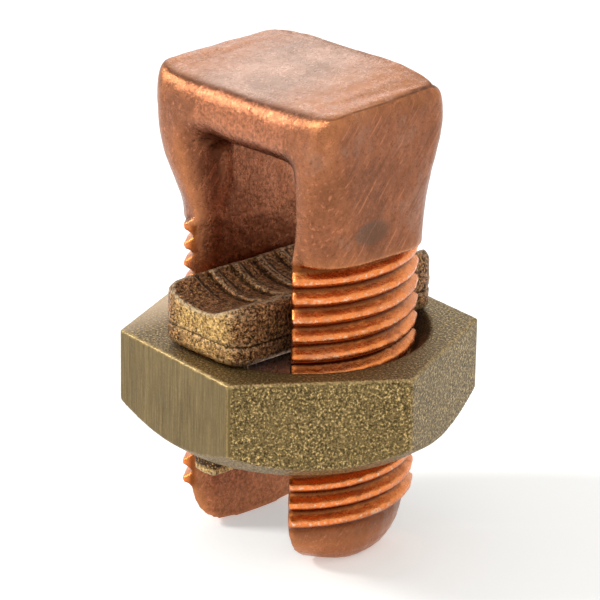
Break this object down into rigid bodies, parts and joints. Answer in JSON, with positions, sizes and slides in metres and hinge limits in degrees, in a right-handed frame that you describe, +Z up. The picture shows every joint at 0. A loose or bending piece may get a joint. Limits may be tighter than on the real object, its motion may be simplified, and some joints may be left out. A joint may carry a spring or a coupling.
{
  "type": "split bolt connector",
  "caption": "Forged copper bolt with a split threaded shank, a hexagon nut and a sliding pressure pad that clamp wires side by side under the head.",
  "frame": {"origin": "on the bolt's axis, level with the ends of the two legs, at the centre of the box's base", "axes": "+Z up the bolt's axis through the head; the wire slot runs along Y; the legs stand at +X and -X"},
  "size_m": [0.0292, 0.0266, 0.0408],
  "materials": {
    "copper": "satin forged copper",
    "nut_bronze": "tarnished silicon bronze",
    "pad_bronze": "dark cast bronze"
  },
  "bodies": {
    "bolt": {"split_bolt": "copper"},
    "pad": {"pressure_pad": "pad_bronze"},
    "nut": {"hex_nut": "nut_bronze"}
  },
  "joints": [
    {"name": "pad_slide", "type": "slide", "parent": "bolt", "child": "pad", "axis": [0, 0, 1], "range_m": [-0.0072, 0.0069]},
    {"name": "nut_turn", "type": "hinge", "parent": "pad", "child": "nut", "pos_m": [0, 0, 0.0139], "axis": [0, 0, 1], "range_deg": [-1620, 1530]}
  ],
  "couplings": [
    {"joint": "pad_slide", "follows": "nut_turn", "m_per_rad": 0.00025266}
  ]
}
